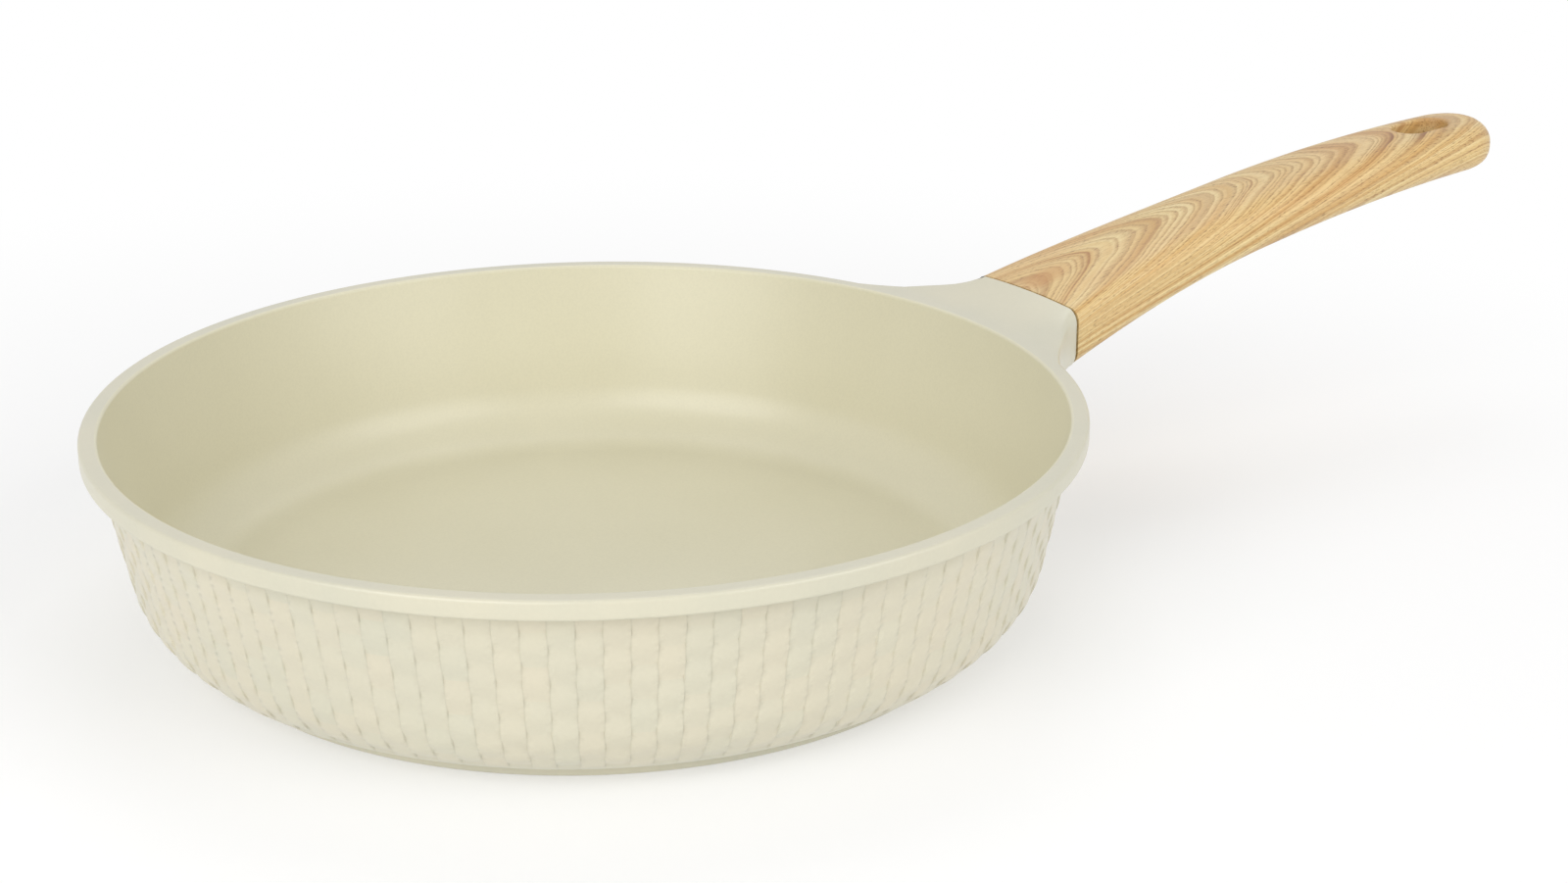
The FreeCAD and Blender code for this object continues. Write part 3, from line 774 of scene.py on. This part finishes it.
def grain_vertex(skin, x, y, z):
    """A vertex that knows its place in the straightened plank, in millimetres."""
    middle = handle_height(x, 0.0, 0.5)
    return skin.vertex((x, y, z), grain=((x - NECK_X) / MM, y / MM, (z - middle) / MM))


def handle_vertex(skin, x, y, level):
    """A vertex of the handle's outside, placed by its level between underside and top."""
    return grain_vertex(skin, x, y, handle_height(x, y, level))


def side_profile(skin, x, out, reach):
    """Points round one side, from the top face's edge to the underside's, along a direction."""
    thick = bow(x, NECK_TOP, TIP_TOP, TOP_ARC) - bow(x, NECK_UNDER, TIP_UNDER, UNDER_ARC)
    round_top, round_under, _ = roundings(x)
    top_arc = arc_points((-round_top, -round_top), round_top, 90, 0, SIDE_STEPS)
    under_arc = arc_points((-round_under, round_under), round_under, 0, -90, SIDE_STEPS)
    upper = [(offset, 1 + z / thick) for offset, z in top_arc]
    lower = [(offset, z / thick) for offset, z in under_arc]
    middle = [(0.0, mix(upper[-1][1], lower[0][1], t)) for t in (1 / 3, 2 / 3)]
    made = []
    for offset, level in upper + middle + lower:
        distance = reach + offset
        made.append(handle_vertex(skin, x + out[0] * distance, out[1] * distance, level))
    return made


def face_row(skin, start, end, level):
    """A row of vertices over a face, between two edge vertices."""
    middle = []
    for i in range(1, ACROSS):
        place = start.co.lerp(end.co, i / ACROSS)
        middle.append(handle_vertex(skin, place.x, place.y, level))
    return [start] + middle + [end]


def hang_outline():
    """The hang hole's outline as (arc centre's x, angle), one for each vertex of a face's edge."""
    outline = []
    for steps, first, last, start, end in (
            (ACROSS, 270, 90, -1, -1), (BESIDE_STEPS, 90, 90, -1, 1),
            (TIP_STEPS, 90, -90, 1, 1), (BESIDE_STEPS, -90, -90, 1, -1)):
        for i in range(steps):
            shift = HANG_HALF * mix(start, end, i / steps)
            outline.append((HANG_X + shift, math.radians(mix(first, last, i / steps))))
    return outline


def hang_face(skin, edge, level):
    """Lays a face from its edge in to the hang hole and over its lip; returns the last ring."""
    outline = hang_outline()
    rings = [edge]
    reach = HANG_R + HANG_LIP
    for step in range(1, FACE_RINGS + 1):
        ring = []
        for outer, (cx, angle) in zip(edge, outline):
            inner = Vector((cx + reach * math.cos(angle), reach * math.sin(angle)))
            place = outer.co.to_2d().lerp(inner, step / FACE_RINGS)
            ring.append(handle_vertex(skin, place.x, place.y, level))
        rings.append(ring)
    for step in range(1, LIP_RINGS + 1):
        turn = math.radians(90 * step / LIP_RINGS)
        reach = HANG_R + HANG_LIP * (1 - math.sin(turn))
        sink = HANG_LIP * (1 - math.cos(turn)) * (2 * level - 1)
        ring = []
        for cx, angle in outline:
            x, y = cx + reach * math.cos(angle), reach * math.sin(angle)
            ring.append(grain_vertex(skin, x, y, handle_height(x, y, level) - sink))
        rings.append(ring)
    skin.patch(rings, closed=True)
    return rings[-1]


def open_bore(skin, rows):
    """Lays the underside with the round screw bore let into it."""
    first, last = (
        min(range(len(rows)), key=lambda i: abs(rows[i][0].co.x - edge))
        for edge in (SCREW_X - 2 * BORE_R, SCREW_X + 2 * BORE_R))
    near, far = ACROSS // 4, ACROSS - ACROSS // 4
    skin.patch(rows[:first + 1])
    skin.patch(rows[last:])
    block = rows[first:last + 1]
    skin.patch([row[:near + 1] for row in block])
    skin.patch([row[far:] for row in block])
    loop = block[0][near:far] + [row[far] for row in block[:-1]]
    loop += block[-1][far:near:-1] + [row[near] for row in block[:0:-1]]
    rings = [loop]
    circle = []
    for vertex in loop:
        angle = math.atan2(vertex.co.y, vertex.co.x - SCREW_X)
        circle.append((SCREW_X + BORE_R * math.cos(angle), BORE_R * math.sin(angle)))
    for step in range(1, BORE_RINGS + 1):
        ring = []
        for vertex, place in zip(loop, circle):
            middle = vertex.co.to_2d().lerp(Vector(place), step / BORE_RINGS)
            ring.append(handle_vertex(skin, middle.x, middle.y, 0.0))
        rings.append(ring)
    rings.append([grain_vertex(skin, x, y, BORE_FLOOR) for x, y in circle])
    skin.patch(rings, closed=True)
    skin.mesh.faces.new(rings[-1])


def make_handle():
    """The moulded handle: crowned faces, rounded long edges, round tip and an open hang hole."""
    skin = Skin()
    skin.layer("grain", "vector")
    places = [mix(NECK_X, HANG_START, i / GRIP_STEPS) for i in range(GRIP_STEPS + 1)]
    places += [mix(HANG_START, TIP_CENTRE, i / BESIDE_STEPS) for i in range(1, BESIDE_STEPS + 1)]
    left, right = [], []
    for x in places:
        left.append(side_profile(skin, x, (0.0, 1.0), half_width(x)))
        right.append(side_profile(skin, x, (0.0, -1.0), half_width(x)))
    tip = []
    for i in range(1, TIP_STEPS):
        angle = math.radians(mix(90, -90, i / TIP_STEPS))
        tip.append(side_profile(skin, TIP_CENTRE, (math.cos(angle), math.sin(angle)), TIP_HALF))
    skin.patch(left + tip + right[::-1])

    count = GRIP_STEPS + 1
    starts, lips = [], []
    for level, index in ((1.0, 0), (0.0, -1)):
        rows = [face_row(skin, a[index], b[index], level) for a, b in zip(left[:count], right)]
        if level:
            skin.patch(rows)
        else:
            open_bore(skin, rows)
        edge = rows[-1][::-1]
        edge += [side[index] for side in left[count:] + tip + right[:count - 1:-1]]
        starts.append(rows[0])
        lips.append(hang_face(skin, edge, level))
    skin.patch(lips, closed=True)
    top, under = starts
    skin.mesh.faces.new(top + right[0][1:-1] + under[::-1] + left[0][1:-1][::-1])
    return skin.finish("wood_effect_handle", angle=45.0)


handle = make_handle()
handle.data.materials.append(wood)
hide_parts("handle")
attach(handle, "root")

for node, finish in finishes.items():
    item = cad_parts[node]
    item.data.materials.clear()
    item.data.materials.append(finish)


# ---------------------------------------------------------------- scene
LAMP_DISTANCE = 1.6
CAMERA_DISTANCE = 0.8


def make_floor():
    """A white floor with a soft shadow; away from the pan it fades into plain white."""
    bpy.ops.mesh.primitive_plane_add(size=12.0, location=(0, 0, -0.0002))
    floor = bpy.context.object
    floor.name = "studio_floor"
    made, tree, shader = material("white_studio_floor", Roughness=0.9)
    shader.inputs["Base Color"].default_value = linear("FAFAFA")
    away = vector(tree, "LENGTH", a=object_place(tree))
    fade = remap(tree, away, 0.4, 1.0, 0.18, 0.5, "SMOOTHSTEP")
    seen = add(tree, "ShaderNodeLightPath").outputs["Is Camera Ray"]
    glow = add(tree, "ShaderNodeEmission")
    share = sums(tree, "MAXIMUM", sums(tree, "MULTIPLY", fade, seen), 0.35)
    mixed = add(tree, "ShaderNodeMixShader", {0: share, 1: shader.outputs[0], 2: glow.outputs[0]})
    tree.links.new(mixed.outputs[0], tree.nodes["Material Output"].inputs["Surface"])
    floor.data.materials.append(made)
    return floor


def direction(azimuth, elevation):
    """The way from the pan towards a lamp or the camera, by angles in degrees from the front."""
    turn, lift = math.radians(azimuth), math.radians(elevation)
    return Vector((math.sin(turn) * math.cos(lift), -math.cos(turn) * math.cos(lift),
                   math.sin(lift)))


def aim(name, data, target, away, distance):
    """Puts a lamp or camera at a distance from its target, looking at it."""
    made = bpy.data.objects.new(name, data)
    made.location = target + away * distance
    made.rotation_euler = (-away).to_track_quat("-Z", "Y").to_euler()
    bpy.context.scene.collection.objects.link(made)
    return made


def make_light(name, azimuth, elevation, size, power):
    """A soft square studio lamp aimed at the pan."""
    data = bpy.data.lights.new(name, "AREA")
    data.size = size
    data.energy = power
    aim(name, data, Vector((0.05, 0.0, 0.03)), direction(azimuth, elevation), LAMP_DISTANCE)


def make_world():
    """White surroundings for the camera and for reflections, softer as a light source."""
    world = bpy.data.worlds.new("studio")
    world.use_nodes = True
    bpy.context.scene.world = world
    tree = world.node_tree
    background = tree.nodes["Background"]
    path = add(tree, "ShaderNodeLightPath").outputs
    seen = sums(tree, "MAXIMUM", path["Is Camera Ray"], sums(
        tree, "MAXIMUM", path["Is Glossy Ray"], path["Is Transmission Ray"]))
    tree.links.new(remap(tree, seen, 0.5, 1.0), background.inputs["Strength"])
    background.inputs["Color"].default_value = (1.0, 1.0, 1.0, 1.0)


def make_camera():
    """The camera: a long lens, level, looking down at the pan from its front left."""
    data = bpy.data.cameras.new("camera")
    data.lens = 65.25
    data.sensor_width = 36.0
    target = Vector((0.0438, -0.0329, 0.0495))
    bpy.context.scene.camera = aim(
        "camera", data, target, direction(-35.0, 20.19), CAMERA_DISTANCE)


make_floor()
make_world()
# azimuth, elevation, size in metres, power in watts
make_light("softbox_left", -65.0, 27.0, 1.2, 14.5)
make_light("softbox_right", 20.0, 28.0, 1.2, 10.0)
make_light("softbox_behind", 150.0, 58.0, 0.9, 4.0)
make_camera()
bpy.context.scene.view_settings.view_transform = "Standard"
